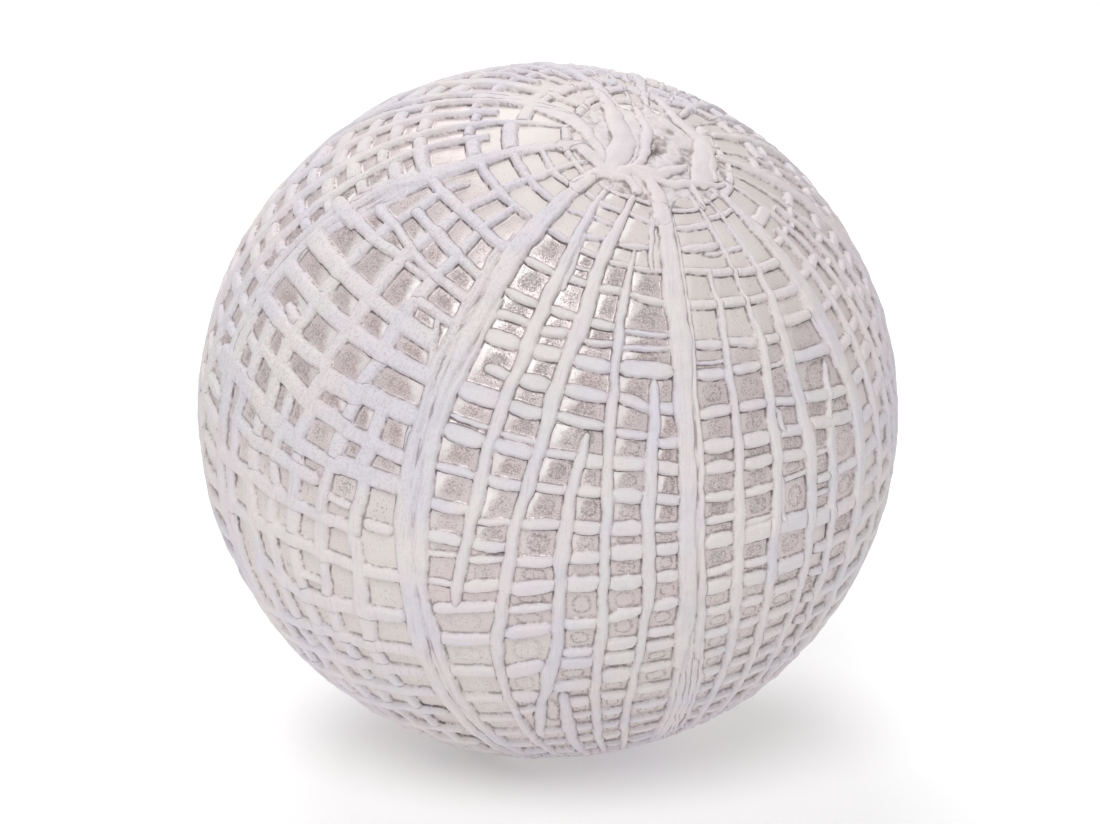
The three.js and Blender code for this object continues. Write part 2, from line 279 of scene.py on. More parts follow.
r4 = Rib([(-92, 5.3, 1.3), (-82, 4.6, 1.8), (-75, 4.3, 2.3), (-68, 4, 2.6), (-60, 4, 2.4), (-52, 4.2, 1.9), (-40, 4.8, 2.1), (-30, 5, 2), (-20, 5.3, 1.9), (-10, 5.9, 1.6), (0, 6.2, 1.6), (10, 5.7, 2), (20, 5.2, 1.8), (30, 4.8, 2), (46, 4.6, 2.2), (84, 5, 2.4)], free=(True, False))
r5u = Rib([(-112, 13, 1.6), (-100, 13, 2), (-94, 12.6, 1.8), (-84, 13.2, 1.4)], 0.75)
r5 = Rib([(-48.5, 15, 1.9), (-40, 14.9, 2.2), (-30, 14.6, 2.4), (-20, 14.6, 2.6), (-10, 14.8, 2.4), (0, 15.4, 2.2), (10, 15.2, 1.6), (18, 14.6, 1.4), (25, 13.5, 1.5), (32, 12.9, 1.9), (46, 12.6, 2.3), (84, 13.5, 2.4)], free=(True, False))
r6 = Rib([(-84, 38.6, 1.4), (-76, 38.6, 1.5), (-68, 38.6, 2.4), (-60, 37.8, 2.2), (-50, 37, 2), (-42, 37, 2), (-35, 36.9, 2), (-25, 36.7, 2), (-15, 36.5, 2.4), (-8, 36, 2.5), (0, 36.5, 2.2), (5, 37, 2.8), (12, 37.8, 2), (30, 38.4, 2), (84, 42, 2.4)])
r7 = Rib([(-118, 52.5, 3), (-108, 51.6, 3), (-95, 51.4, 2.6), (-84, 51, 1.6), (-75, 50.8, 1.3), (-65, 50.6, 1.7), (-60, 50.8, 2.3), (-50, 49.8, 2.4), (-42, 48.6, 2.4), (-35, 48, 2.4), (-25, 47.5, 2.4), (-12, 46.8, 1.9), (-5, 46.1, 2.2), (2, 46, 2.2), (12, 46.4, 2), (30, 47.4, 2), (84, 51, 2.4)])
r7b = Rib([(-39, 48.6, 1), (-36.5, 50.6, 1.1), (-32, 50.4, 1)], 0.7)
r7c = Rib([(-23, 48.7, 0.9), (-16, 49, 1), (-10.5, 48.8, 0.9)], 0.65)
r8 = Rib([(-112, 66, 3), (-90, 63.5, 2.5), (-75, 62.5, 2.4), (-66, 61.6, 3), (-60, 60, 3.4), (-50, 58.9, 3.4), (-42, 58.3, 3), (-35, 58.5, 3.3), (-25, 58.5, 3.3), (-18, 58.5, 3), (-12, 58, 2.5), (-5, 57.5, 2), (2, 57.5, 2.3), (12, 56.6, 2), (30, 56.5, 2), (84, 60, 2.4)])
r9 = Rib([(-43.5, 72.6, 1.3), (-36, 70, 1.5), (-29.5, 68, 1.4)], 0.8, (True, True))
r9b = Rib([(-27, 67, 2), (-16, 66.2, 2.4), (-10, 66, 2), (-4, 65.5, 2), (8, 65, 2), (30, 65, 2), (84, 66, 2.2)])
ra = Rib([(-76, -63.2, 1.7), (-72, -63.3, 1.7), (-65, -63.5, 1.8), (-55, -63.8, 1.9), (-45, -63.6, 1.8), (-35, -63, 1.8), (-25, -62.9, 1.7), (-15, -62.5, 1.7), (-5, -62.5, 1.6), (5, -62, 1.6), (30, -61, 1.8), (84, -58, 2)])
rb = Rib([(-118, -51.5, 3), (-105, -52, 3), (-90, -53.6, 2.6), (-75, -54.8, 2.4), (-60, -54.5, 2.2), (-52, -54.8, 2.5), (-45, -54.1, 2), (-35, -54, 2), (-25, -53.8, 1.9), (-15, -53.4, 1.7), (-5, -53, 1.7), (3, -52.5, 1.6), (14, -51.6, 1.6), (30, -51, 1.8), (84, -49, 2)])
rc = Rib([(-84, -45.2, 1.8), (-70, -45.5, 1.9), (-60, -45.5, 1.9), (-50, -45.3, 2), (-40, -45.5, 2.1), (-30, -45.7, 1.9), (-20, -46, 1.7), (-10, -46.8, 1.5), (0, -46.8, 1.7), (9, -46.4, 1.5), (30, -45, 1.7), (84, -42, 2)])
rd = Rib([(-27.5, -41, 1.4), (-20, -41, 1.6), (-12, -40.3, 1.9), (-5, -40, 1.9), (3, -39.8, 1.9), (12, -39.8, 1.8), (30, -38, 1.8), (84, -35, 2)])
re = Rib([(-22, -57.8, 1.2), (-14, -58, 1.3), (-8, -57.6, 1.5), (0, -57.3, 1.7), (12, -56.5, 1.6), (30, -56, 1.6), (60, -54, 1.6)])
rf = Rib([(-29, -68.7, 1.4), (-18, -68.5, 1.4), (-8, -68.5, 1.4), (2, -68.8, 1.4), (30, -66, 1.6)])

front_ribs = [r1, r1b, r2, r3, r3b, r4, r5u, r5, r6, r7, r7b, r7c, r8, r9, r9b]
left_ribs = [ra, rb, rc, rd, re, rf]
beneath = [
    Rib([(-76, -34.5, 6), (-60, -33, 6.6), (-48, -32.4, 6.6), (-36, -31.8, 5.6), (-24, -31.4, 5.4), (-10, -30.8, 5), (0, -29.6, 4.6), (12, -28.6, 4.6), (30, -27, 4.4), (84, -24.6, 5)], 0.6),
    Rib([(-112, 24.6, 4), (-60, 24.8, 3.6), (-30, 25, 3), (0, 25.9, 3), (14, 26.6, 4), (24, 27.6, 5.4), (84, 31, 9)], 0.62),
    Rib([(-74, -71, 5), (-62, -73, 7), (-50, -74.5, 6), (-40, -76.2, 3.4), (-14, -74.4, 3)], 0.5),
]
for r in beneath:
    r.draw(True)
for r in seam_a + seam_b + seam_c + seam_d:
    r.w = (r.w - RIB_MORE) * SEAM_WIDE + 0.15
for r in seam_a + seam_b + seam_c + seam_d + front_ribs:
    r.draw()


class Edge:
    """The side of a seam, as a rib without width for the bars that end on it."""

    def __init__(self, knots):
        k = np.array(sorted(knots), float)
        self.d, self.a = k[:, 0], k[:, 1]

    def left(self, down):
        return float(np.interp(down, self.d, self.a))

    right = left
    middle = left


a_right = Edge([(-110, -29.6), (-70, -29.4), (-58, -28.6), (-50, -28), (-40, -27.8), (-30, -28), (-20, -28), (-10, -27.4), (0, -26.8), (5, -25.6), (12, -25.2), (20, -24.6), (30, -23.6), (84, -21)])
a_left = Edge([(-110, -38.5), (-70, -38), (-60, -37.2), (-50, -36.4), (-40, -35.2), (-30, -34.4), (-20, -34.2), (-10, -33.4), (0, -32), (10, -32), (30, -30), (84, -28.4)])
b_left = Edge([(-110, 17.2), (-80, 17.8), (-65, 18.7), (-55, 19.6), (-45, 20.4), (-35, 20.8), (-25, 21.2), (-10, 21.7), (10, 22.2), (20, 22.6), (30, 23.8), (84, 25)])
b_right = Edge([(-110, 27.6), (-60, 27.4), (-40, 27), (-25, 27.6), (0, 28.2), (10, 29.4), (18, 30.6), (30, 32.2), (84, 38)])
c_left = Edge([(-110, 76.4), (-60, 75), (-45, 75.6), (-35, 77.2), (-25, 77), (-15, 76.6), (0, 74.8), (84, 70)])
d_right = Edge([(-110, -67.4), (-70, -68), (-60, -69.4), (-48, -71), (-40, -74.4), (-20, -73), (0, -70), (84, -67)])

# Left of the middle to the middle: short pillows between the ribs
bars(a_right, r1, [(-98.5, 2.8, -2.6), (-84.6, 2, 0), (-71.8, 2, -0.4), (-61, 2, 0), (-55.3, 1.8, -0.9), (-49.6, 3, -0.8), (-42.6, 1.8, 0, -25.2), (-38.3, 0.7, -0.4), (-36.6, 2.3, 0), (-31.4, 0.9, 0.2), (-28.7, 2.4, 0.2), (-21.7, 1.3, 0), (-15.2, 1.7, -0.3), (-9.2, 1.7, -0.3), (-6.2, 0.8, -0.9), (-0.6, 1.1, 0.2)])
bars(r1, r2, [(-101.5, 2, 0), (-91.5, 2.4, -2.6), (-84, 1.6, 0.4), (-77.5, 0.9, -1), (-72.4, 2, -0.4), (-61.6, 2.2, -0.3), (-56, 2.2, -1.6), (-50.3, 3.4, -0.4), (-43, 3, -0.3), (-36.7, 2.6, 0), (-30.9, 1, 0), (-28.5, 2.2, 0.2), (-21.7, 1.4, 0), (-13.9, 1.1, -1.1), (-9.3, 1.5, -0.4), (-6.5, 1.2, -1.2), (-0.9, 2, -1.4)])
bars(a_right, r2, [(4, 1.7, -2.1), (11.1, 2.1, -0.9), (19.7, 1.9, -0.3), (28.4, 1.8, -0.2), (37, 1.8, -0.6), (45, 2.2), (54, 2.6), (65, 3), (77, 3.2)], lens=False)
bars(r2, r4, [(-84, 2, -0.9), (-73.1, 2.5, -1.3), (-61.6, 2.2, -0.2), (-56.4, 1.8, -1.4), (-50.4, 3.4, 0.1), (-43.2, 3, 0.4), (-36.7, 1.8, 1)])
bar(-2.6, -92.2, 12, -95.2, 2.8)
bars(r2, r3, [(-29.3, 1.5, 0), (-22, 1.6, 0), (-14.6, 1.6, -0.7), (-7, 1.8, -0.8), (-1.6, 2.7, -1.4), (3.2, 1.3, -1.2), (8.4, 2.5, -1.8), (18.9, 3.9, -2.4), (28, 2.9, 0), (33.4, 1.8, -1)])
bars(r3, r4, [(-28.6, 2.5, 0), (-22.2, 1.8, 0), (-14.8, 2.5, 0), (-8.2, 2.3, -0.3), (-2.6, 2.8, -0.2), (7, 2.4, 0), (14.2, 1.9, -0.2), (17.5, 3.2, 0), (24.9, 3.2, -0.6)])
bars(r3b, r4, [(31.3, 3, 0), (38, 1.6), (45, 2.2), (54, 2.6), (65, 3), (77, 3.2)])
bars(r2, r3b, [(45.5, 2.2), (55, 2.6), (66, 3), (78, 3.2)])
bars(r4, b_left, [(-84, 1.9, -0.8), (-72.7, 2.5, 1.4), (-61.2, 1.5, 0), (-57, 1.4, -1.5), (-50.8, 4, 0)])
bars(r4, r5, [(-42.4, 2.8, 2), (-35, 1.3, 0.4), (-28.6, 2.8, 0.3), (-21.5, 2.2, 0.3), (-14.5, 2.6, 0), (-9.2, 2.7, 0), (-2.6, 2.9, 0), (5.1, 2, -1.9), (13, 2.5, -0.4), (17.2, 4.1, 0), (23, 4.2, 0), (30.4, 3, 0.4), (38, 2), (46, 2.4), (55, 2.6), (66, 3), (78, 3.2)])
bars(r5, b_left, [(-41.3, 2.6, 0.3), (-33.5, 2, 0), (-27.5, 2.5, 0.9), (-20.6, 2.2, 0.8), (-14.5, 1.6, 0), (-9.5, 2.1, 0), (-3, 2.5, 0), (4, 2.3, 0), (11.2, 2, 0), (15.2, 2.5, 0), (22.1, 2.2, 0.3), (30.3, 2.4, 0.2), (38, 2), (46, 2.4), (55, 2.6), (66, 3), (78, 3.2)])
# Middle to right
bar(27.6, -96.4, 50.6, -96.4, 4.1)
band([(28, -85.4), (40, -84.2), (51, -83), (63, -80), (76, -78)], 3.2)
band([(26.8, -72), (40, -71.6), (51, -70.4), (62, -69), (76, -66)], 3.1)
bars(b_right, r6, [(-58.3, 2.5, 0.6), (-53.3, 1, 0), (-50, 2.8, 0.3), (-40, 2.5, -0.8), (-31.8, 2.9, 0), (-26.5, 2.3, 0), (-19.9, 1.6, 0), (-14.5, 1.4, 0), (-9.6, 3.5, 0), (-2.3, 1.5, -1), (1.8, 2.9, 0.4), (8.2, 1.8, 0), (15, 2.2), (22, 2.2), (29, 2.4), (37, 2.4), (46, 2.6), (56, 2.8), (67, 3), (79, 3)])
bars(r6, r7, [(-92.5, 1.6, 0.4), (-57.6, 2.4, 2), (-50, 2.3, 0.3), (-40, 2.4, 0.6), (-31.5, 3.2, 0.4), (-26, 2, 0.2), (-19.4, 1.4, 0), (-12.4, 1, 0), (-2, 1.5, 0.4), (2.2, 3, 0.6), (8.8, 2, 0.5), (15, 2.2), (22, 2.2), (29, 2.4), (37, 2.4), (46, 2.6), (56, 2.8), (67, 3), (79, 3)])
band([(37, -9.6), (46.5, -9.6), (58, -7.8), (66, -7), (76, -5.6)], 3.2)
bars(r7, r8, [(-92, 2, 0.5), (-56.2, 2.2, 0.5), (-48.6, 1, 0.3), (-38.7, 2, 2), (-31, 2.2, 1.8), (-25, 2.2, 1), (-20, 1, 0.2), (2, 3, 0.4), (8.2, 2.3, 0.6), (15, 2.2), (22, 2.2), (29, 2.4), (37, 2.4), (46, 2.6), (56, 2.8), (67, 3), (79, 3)], lens=False)
for d0, d1, th in ((-60, -57, 3.1), (-49, -45.6, 2.9), (-37.8, -33.2, 2.5), (-30.6, -26.4, 2.7), (-16.8, -15.4, 1.8), (1, 3, 2), (7.2, 9.6, 2), (15, 17, 2.2), (22, 24, 2.4), (30, 32, 2.4), (40, 42, 2.6), (51, 53, 2.8), (64, 66, 3), (78, 79, 3)):
    bar(59.6, d0, 77.4, d1, th, False)
bars(r8, r9b, [(-22.5, 1, 0.3), (-12.6, 1, 0.3)])
# Left: bars that run on over the ribs, with short rods between them
left_rows = [
    ([(-84, -67.2), (-72, -68), (-63, -69), (-54, -70.5), (-45, -71), (-36.5, -71)], 2.6),
    ([(-62.5, -61.4), (-54, -62), (-45, -61.5), (-37, -60.4)], 2.2),
    ([(-70, -55), (-63, -55.8), (-54, -55), (-45, -54.8), (-36, -54)], 1.5),
    ([(-79, -47.4), (-70, -49.5), (-63, -51), (-55.5, -53)], 2),
    ([(-44.6, -47.8), (-36.4, -47.8)], 1.4),
    ([(-75, -41.2), (-63, -42.5), (-54, -43), (-45, -43.3), (-37.5, -43)], 2.6),
    ([(-75, -35.4), (-63, -36.2), (-54, -36), (-45, -36.2), (-34.4, -36.2)], 2.4),
    ([(-76, -28.4), (-70, -29), (-63, -29), (-54.6, -29.6)], 2),
    ([(-53, -27.5), (-45, -28.2), (-34.6, -28.4)], 2.6),
    ([(-62.6, -23.6), (-54, -22), (-45, -21.6), (-34.4, -21)], 2),
    ([(-78, -17), (-69, -17.5), (-62, -17), (-54, -16), (-45, -15.6), (-34, -15.6)], 2),
    ([(-69, -12.6), (-60, -12), (-49, -11.5)], 1.6),
    ([(-72, -6), (-62, -6.8), (-54, -6.5), (-45, -6), (-40, -6)], 1.6),
    ([(-70, 0.6), (-58, 0), (-47, 0), (-40, 0.2), (-32.2, -0.3)], 1.6),
    ([(-62, 6), (-52, 9.8), (-40, 8.5), (-32.4, 7.6)], 1.8),
]
left_rows += [([(-68, d + 1.4), (-56, d + 0.6), (-44, d), (-31, d - 0.5)], 1.8 + 0.012 * d) for d in (16, 22, 28, 35.5, 44, 53, 64, 76)]
left_rows += [([(-68, d + 1.5), (-58, d + 0.8), (-46, d), (-38.4, d - 0.6)], th) for d, th in ((-122, 3.4), (-108, 3), (-96, 3), (-84, 2.6))]
for knots, th in left_rows:
    band(knots, th, 0.97, True)
for spots_ in ((-69, -31.4, -63.6, -31, 1.3), (-73.5, -23.2, -68, -22, 1.3), (-68.6, -23.8, -63, -23, 1.4), (-47.2, -10.3, -40.4, -9.8, 1.1), (-39.2, -8, -33.6, -8.2, 1.6), (-54, -52.4, -46, -53, 1.2), (-55, 5.3, -46, 5, 1.1)):
    bar(*spots_)
for r in left_ribs:
    crossed = [r.d[0], r.d[-1]]
    for knots, th in left_rows:
        k = np.array(knots)
        mid_d = float(np.interp(float(r.middle(knots[0][1])), k[:, 0], k[:, 1]))
        a_here = float(r.middle(mid_d))
        if k[0, 0] - 1 < a_here < k[-1, 0] + 1 and r.d[0] < mid_d < r.d[-1]:
            crossed.append(float(np.interp(a_here, k[:, 0], k[:, 1])))
    crossed = sorted(crossed)
    for d0, d1 in zip(crossed[:-1], crossed[1:]):
        if d1 - d0 > 1.2:
            swell = rng.uniform(0.92, 1.2)
            w = 2 * float(r.half((d0 + d1) / 2)) * swell
            slip = rng.normal(0, 0.35)
            Rib([(d0 - 0.4, float(r.middle(d0)) + slip, w), ((d0 + d1) / 2, float(r.middle((d0 + d1) / 2)), w * 1.06), (d1 + 0.4, float(r.middle(d1)) - slip, w)], 0.9, (True, True), 0.0).draw(rng.random() < 0.55)
# short rows close to the upper gathering
for lft, rgt in ((a_right, r1), (r1, r2), (r2, b_left), (b_right, r7), (r7, r8), (r8, c_left)):
    bars(lft, rgt, [(-111 + rng.uniform(-2, 2), 3, rng.normal(0, 1.2)), (-124 + rng.uniform(-3, 3), 3.4, rng.normal(0, 1.2))], lens=False)


# ------------------------------------------------------------------ the sides and the back, in keeping and plainer
def panel(from_, to, ribs, seed, wide, start=None, end=None):
    """One more panel of the same net between two seams, both given at the middle and drifting a little."""
    global rng
    rng = np.random.default_rng(seed)
    own = [start or Edge([(-112, from_), (84, from_ + 1)])]
    for n in range(1, ribs):
        a = from_ + (to - from_) * n / ribs + 0.12 * (to - from_) / ribs * rng.standard_normal()
        w = wide * rng.uniform(0.8, 1.15)
        top = -112 if n % 2 == 0 else rng.uniform(-92, -84)
        k = [(d, a + rng.normal(0, 0.35), w * (1.35 if d < -80 else 1.0)) for d in (top, -70, -45, -20, 5, 30, 58, 84) if d >= top]
        r = Rib(k, 0.9)
        r.draw()
        own.append(r)
    own.append(end or Edge([(-112, to), (84, to - 1)]))
    upper = [r for r in own if isinstance(r, Edge) or r.d[0] < -100]
    for ribs_, first, stop in ((upper, -126, -90), (own, -84, 82)):
        for lft, rgt in zip(ribs_[:-1], ribs_[1:]):
            d = first + rng.uniform(0, 5)
            while d < stop:
                mid = (float(lft.middle(d)) + float(rgt.middle(d))) / 2
                mm = float(mm_per_deg(np.array(mid), np.array(d)))
                thick = min(rng.uniform(1.2, 2.0) / mm, 0.55 * (rgt.left(d) - lft.right(d)))
                bars(lft, rgt, [(d, thick, rng.normal(0, 0.4))], lens=d > -80 and rng.random() < 0.75)
                d += rng.uniform(3.8, 5.6) / mm * (1.25 if d < -75 else 1.0)


SIDE_SEAMS = [(122, 4.2), (149, 3.4), (173, 3.0), (196, 2.8), (219, 2.8), (243, 3.0)]
rng = np.random.default_rng(5)
for at, w in SIDE_SEAMS:
    Rib([(-125, at + 2, w * 1.3), (-90, at + 1.5, w * 1.4), (-60, at + 1, w), (-20, at - 0.5, w), (20, at + 0.6, w), (55, at, w), (84, at - 0.5, w)], 1.0).draw()
c_right = Edge([(-122, 82.8), (-60, 82.2), (-45, 81.7), (-25, 81.4), (-5, 78.9), (5, 77.9), (40, 75.7), (84, 73.7)])
d_left = Edge([(-126, 287.2), (-74, 286.8), (-66, 285.5), (-58, 283.5), (-46, 281.6), (-22, 282.4), (-8, 286), (5, 287.8), (84, 289.6)])
panel(81.5, 120, 5, 21, 2.0, start=c_right)
panel(124, 147.5, 4, 22, 1.8)
panel(150.6, 171.6, 4, 23, 1.5)
panel(174.4, 194.6, 4, 24, 1.4)
panel(197.4, 217.6, 4, 25, 1.3)
panel(220.4, 241.6, 4, 26, 1.3)
panel(244.6, 284, 6, 27, 1.9, end=d_left)

# ------------------------------------------------------------------ panes: one number each, and places within them
edge = np.maximum(over_edge, under_edge)
open_ = edge < -0.04
label = np.zeros((ROWS, COLS), np.int32)
parent = [0]


def root(n):
    while parent[n] != n:
        parent[n] = parent[parent[n]]
        n = parent[n]
    return n


last = []
for j in range(ROWS):
    line = open_[j]
    step = np.diff(np.concatenate(([0], line.view(np.int8), [0])))
    runs = []
    for s, e in zip(np.nonzero(step == 1)[0], np.nonzero(step == -1)[0]):
        parent.append(len(parent))
        n = len(parent) - 1
        label[j, s:e] = n
        runs.append((s, e, n))
    k = 0
    for s, e, n in runs:
        while k < len(last) and last[k][1] <= s:
            k += 1
        m = k
        while m < len(last) and last[m][0] < e:
            a, b = root(last[m][2]), root(n)
            parent[max(a, b)] = min(a, b)
            m += 1
    if runs and runs[0][0] == 0 and runs[-1][1] == COLS:
        a, b = root(runs[0][2]), root(runs[-1][2])
        parent[max(a, b)] = min(a, b)
    last = runs
table = np.array([root(n) for n in range(len(parent))])
_, table = np.unique(table, return_inverse=True)
label = table[label].astype(np.int32)
for _ in range(int(3.0 / STEP)):  # panes reach under the strokes around them, so that no pane mixes with the next
    for axis, shift in ((0, 1), (0, -1), (1, 1), (1, -1)):
        near = np.roll(label, shift, axis)
        label = np.where(label == 0, near, label)
panes = int(table.max()) + 1
inside = label.ravel()[open_.ravel()]
pa = np.broadcast_to(AROUND, (ROWS, COLS)).ravel()[open_.ravel()]
pd = np.broadcast_to(DOWN[:, None], (ROWS, COLS)).ravel()[open_.ravel()]
lo_a, hi_a, lo_d, hi_d = (np.full(panes, v) for v in (1e3, -1e3, 1e3, -1e3))
np.minimum.at(lo_a, inside, pa)
np.maximum.at(hi_a, inside, pa)
np.minimum.at(lo_d, inside, pd)
np.maximum.at(hi_d, inside, pd)
pane_a, pane_d = (lo_a + hi_a) / 2, (lo_d + hi_d) / 2
half_a, half_d = np.maximum((hi_a - lo_a) / 2, 0.3), np.maximum((hi_d - lo_d) / 2, 0.3)

# How each pane has tarnished: speckle, rings and plain cream; and how strong a painted highlight lies along one side of
# it
pane_rng = np.random.default_rng(3)
luck = pane_rng.random((panes, 5))
left = ((pane_a < -34.5) & (pane_a > -84)).astype(float)
mid = ((pane_a >= -34.5) & (pane_a < 26)).astype(float)
right = ((pane_a >= 26) & (pane_a < 82)).astype(float)
rest = 1 - left - mid - right
above = smooth(-80, -90, pane_d)
stain = (
    left * (0.95 * smooth(-72, -58, pane_d) * smooth(-6, -20, pane_d) + 0.25)
    + mid * (0.85 * smooth(4, -26, pane_d) + 0.25)
    + right * (0.55 * smooth(-66, -30, pane_d) * smooth(14, -4, pane_d) + 0.2)
    + rest * 0.35
)
far = ((pane_a >= 82) & (pane_a < 150)).astype(float)  # paler where the whitewash lies thick
stain = np.clip(stain * (0.5 + 0.65 * luck[:, 0]) * (1 - 0.85 * above) * (1 - 0.6 * far), 0, 1)
ring = mid * smooth(-45, -20, pane_d) * smooth(-16, -6, pane_a) + right * smooth(-60, -38, pane_d) + 0.25 * mid * smooth(-80, -40, pane_d)
ring = np.clip(ring * (0.35 + luck[:, 1]), 0, 1)
cream = 0.8 * far + 0.8 * right * smooth(-44, -66, pane_d) + 0.45 * right * smooth(-8, 8, pane_d) + 0.5 * mid * smooth(-4, 14, pane_d) + left * smooth(-26, -4, pane_d) + mid * smooth(2, 18, pane_d) * smooth(-4, -16, pane_a) + above + 0.35 * left * smooth(-55, -75, pane_d)
cream = np.clip(cream + 0.25 * (luck[:, 2] - 0.5), 0, 1)
# strength of the painted highlight per pane, strongest in the upper middle
painted_highlight = np.clip(left * smooth(-75, -55, pane_d) * smooth(-10, -30, pane_d) + mid * 1.3 * smooth(0, -26, pane_d) + 0.3 * right * smooth(0, -40, pane_d), 0, 1)
painted_highlight = painted_highlight * (0.4 + 0.75 * luck[:, 3])
painted_highlight[left > 0] *= -1  # painted highlight on the right side of the panes there, on the left side elsewhere
stain[0] = ring[0] = cream[0] = painted_highlight[0] = 0

# ------------------------------------------------------------------ the surface
A2, D2 = np.meshgrid(AROUND, DOWN)
dirs = to_dir(A2, D2)
along = dirs @ UP
body = 1 / np.sqrt((1 - along**2) / EQUATOR_R**2 + along**2 / AXIS_R**2)
where = dirs * EQUATOR_R
lump4 = noise3(where / 4.0, 1)
lump2 = noise3(where / 1.7, 2)
lump1 = noise3(where / 0.8, 3)
streak = noise3(np.stack([A2 / 0.55, D2 / 7.0, 0 * A2], -1), 4)

stroke = np.maximum(rib_z, bar_z) + 0.12 * np.minimum(rib_z, bar_z)
raised = smooth(-0.05, 0.35, edge)
hollow = np.clip(-edge, 0, 3)
floor_z = PILLOW * (1 - np.exp(-hollow / 0.3)) + 0.03 * lump2
height = np.maximum(stroke, floor_z)
crease = np.exp(-((over_edge / 0.13) ** 2)) * smooth(0.0, 0.3, under_edge)
height = height - 0.2 * crease
height = height + raised * (0.045 * lump4 + 0.06 * lump2 + 0.04 * lump1 + 0.04 * streak)

soft = 0.4 * smooth(-78, -112, D2)  # the wash lies thicker toward the upper gathering
height = height * (1 - soft) + 0.72 * soft

# the two gathering patches: trowelled lumps above, plain below
patch = smooth(-120, -138, D2 + 12 * lump4 + 6 * lump2)
trowel = np.maximum(0.5 + 0.2 * lump4 + 0.16 * lump2 + 0.1 * lump1, 0.3)
height = height * (1 - patch) + patch * trowel
edge = edge * (1 - patch) + patch * (0.2 + 0.25 * lump4 + 0.25 * lump2)

# ridges smeared by hand over the upper gathering: right, back and width, in millimetres from the pole
SMEARS = [
    [(-12.4, -1.9, 2.4), (-10.5, -1.5, 2.2), (-8.5, -3.9, 1.8), (-6.0, -6.6, 1.6)],
    [(-6.0, -6.8, 1.6), (-5.3, -3.2, 3.4), (-4.3, 1.0, 3.6), (-5.4, 6.6, 2.6), (-6.7, 12.7, 2.0), (-7.3, 18.3, 1.8)],
    [(-6.0, -6.9, 1.6), (-2.6, -4.9, 2.0), (0.6, -4.9, 2.0), (4.2, -2.2, 1.4)],
    [(-1.4, -6.2, 1.0), (3.0, -5.9, 1.3), (10.1, -2.8, 1.0)],
    [(7.8, 8.7, 2.6), (7.5, 1.9, 3.8), (7.1, -3.3, 3.2)],
    [(1.8, 15.1, 1.6), (3.7, 10.1, 2.2), (6.1, 6.8, 2.0), (8.5, 4.6, 1.8), (8.9, -1.9, 1.4)],
    [(-22.7, 12.7, 2.6), (-19.0, 10.8, 3.0), (-15.5, 8.0, 3.0), (-11.6, 4.7, 2.4), (-9.2, 1.5, 1.8), (-7.2, -3.6, 1.4)],
    [(-14.9, 9.3, 1.2), (-10.6, 13.8, 1.4), (-6.6, 17.6, 1.2)],
    [(-7.1, 13.1, 1.4), (-2.9, 16.6, 1.8), (1.8, 15.1, 2.0), (6.2, 16.0, 1.6), (12.3, 15.5, 1.4)],
    [(-11.2, 4.7, 1.0), (-8.3, 10.0, 1.2), (-6.9, 13.2, 1.0)],
    [(-5.6, -6.7, 1.4), (-8.0, -6.7, 2.0), (-10.3, -9.3, 2.6)],
    [(-2.3, -8.9, 1.6), (-3.7, -6.9, 1.3), (-5.2, -6.8, 1.2)],
    [(1.6, -12.1, 3.0), (0.7, -9.0, 2.2), (-1.0, -6.2, 1.6), (-2.5, -5.6, 1.2)],
    [(7.2, -8.5, 1.2), (6.3, -6.9, 1.2), (5.5, -5.1, 1.0)],
    [(-2.1, 9.5, 1.0), (-0.8, 4.6, 1.6), (-1.4, -0.9, 1.4), (-2.6, -4.9, 1.2)],
]
EAST = np.array([1.0, 0.0, 0.0]) - UP[0] * UP
EAST /= np.linalg.norm(EAST)
cap = DOWN < -55
su = where[cap] @ EAST + 0.35 * lump2[cap] + 0.12 * lump1[cap]
sv = where[cap] @ np.cross(UP, EAST) + 0.35 * noise3(where[cap] / 1.9, 6) + 0.12 * noise3(where[cap] / 0.7, 7)
smear_edge, smear_z = np.full(su.shape, -9.0), np.zeros(su.shape)
for ridge in SMEARS:
    for (u0, v0, w0), (u1, v1, w1) in zip(ridge[:-1], ridge[1:]):
        du, dv = u1 - u0, v1 - v0
        t = np.clip(((su - u0) * du + (sv - v0) * dv) / (du * du + dv * dv), 0, 1)
        half = (w0 + (w1 - w0) * t) / 2
        off = np.hypot(su - u0 - du * t, sv - v0 - dv * t)
        smear_edge = np.maximum(smear_edge, half - off)
        smear_z = np.maximum(smear_z, 0.95 * np.sqrt(np.clip(1 - 0.6 * (off / half) ** 2, 0, 1)) * (off < half))
lip = np.exp(-(((smear_edge + 0.06) / 0.12) ** 2))
height[cap] = np.maximum(height[cap] - 0.12 * lip, smear_z + (smear_z > 0) * (0.05 * lump2[cap] + 0.05 * lump1[cap]))
edge[cap] = np.maximum(edge[cap], smear_edge) * (1 - lip) - 0.05 * lip
foot_patch = smooth(80, 88, D2)
height = height * (1 - foot_patch) + foot_patch * (0.7 + 0.08 * lump4 + 0.05 * lump2)
edge = edge * (1 - foot_patch) + foot_patch * (0.45 + 0.1 * lump2)
print("panes", panes, "height", round(float(height.min()), 3), round(float(height.max()), 3))

reach = body - DEPTH + height
facing = smooth(-0.35, 0.1, dirs @ VIEW)
guide = body - DEPTH + height * (0.7 + 1.1 * facing)  # the visible side keeps more of the faces


def shape(r):
    return dirs * r[..., None]


